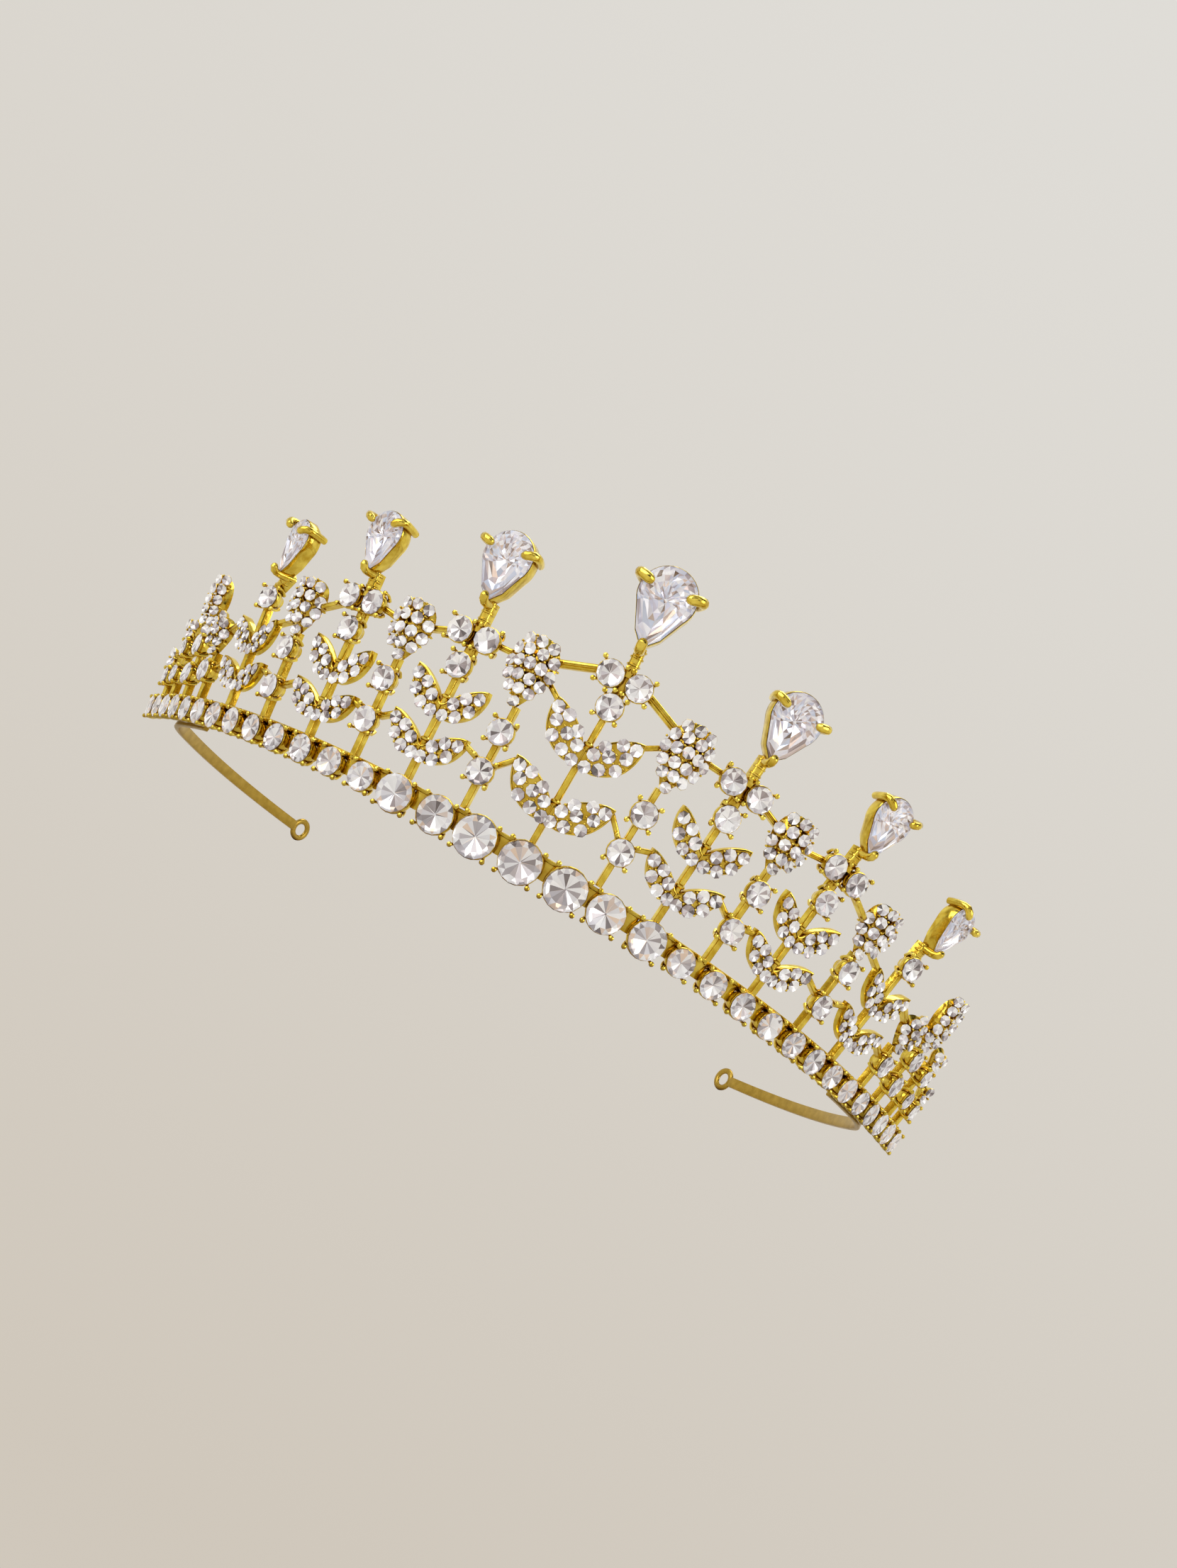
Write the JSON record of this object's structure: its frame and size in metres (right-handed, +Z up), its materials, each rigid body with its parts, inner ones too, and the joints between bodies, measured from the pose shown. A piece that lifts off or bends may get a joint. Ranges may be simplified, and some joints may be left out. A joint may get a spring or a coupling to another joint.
{
  "type": "tiara",
  "caption": "Gold-plated openwork tiara on a flat headband, with leaf sprays, buds and pear-cut crystals over a row of round crystals.",
  "frame": {"origin": "on the surface that the tiara stands on, under the middle of its bounding box", "axes": "+X to the viewer's right across the front, +Y from the front back over the head, +Z up"},
  "size_m": [0.1586, 0.1214, 0.0477],
  "materials": {
    "cast_gold": "polished gold plate",
    "band_gold": "polished gold plate",
    "crystal": "clear cut glass",
    "pear_crystal": "clear cut glass"
  },
  "bodies": {
    "root": {"frame": "cast_gold", "headband_left": "band_gold", "headband_right": "band_gold", "base_stone_01": "crystal", "base_stone_02": "crystal", "base_stone_03": "crystal", "base_stone_04": "crystal", "base_stone_05": "crystal", "base_stone_06": "crystal", "base_stone_07": "crystal", "base_stone_08": "crystal", "base_stone_09": "crystal", "base_stone_10": "crystal", "base_stone_11": "crystal", "base_stone_12": "crystal", "base_stone_13": "crystal", "base_stone_14": "crystal", "base_stone_15": "crystal", "base_stone_16": "crystal", "base_stone_17": "crystal", "base_stone_18": "crystal", "base_stone_19": "crystal", "base_stone_20": "crystal", "base_stone_21": "crystal", "base_stone_22": "crystal", "base_stone_23": "crystal", "base_stone_24": "crystal", "base_stone_25": "crystal", "base_stone_26": "crystal", "base_stone_27": "crystal", "base_stone_28": "crystal", "base_stone_29": "crystal", "base_stone_30": "crystal", "base_stone_31": "crystal", "base_stone_32": "crystal", "base_stone_33": "crystal", "centre_inner_stone": "crystal", "centre_outer_stone": "crystal", "centre_lower_stone": "crystal", "second_left_inner_stone": "crystal", "second_left_outer_stone": "crystal", "second_left_lower_stone": "crystal", "second_right_inner_stone": "crystal", "second_right_outer_stone": "crystal", "second_right_lower_stone": "crystal", "third_left_inner_stone": "crystal", "third_left_outer_stone": "crystal", "third_left_lower_stone": "crystal", "third_right_inner_stone": "crystal", "third_right_outer_stone": "crystal", "third_right_lower_stone": "crystal", "fourth_left_single_stone": "crystal", "fourth_right_single_stone": "crystal", "centre_pear": "pear_crystal", "second_left_pear": "pear_crystal", "second_right_pear": "pear_crystal", "third_left_pear": "pear_crystal", "third_right_pear": "pear_crystal", "fourth_left_pear": "pear_crystal", "fourth_right_pear": "pear_crystal"}
  },
  "joints": []
}
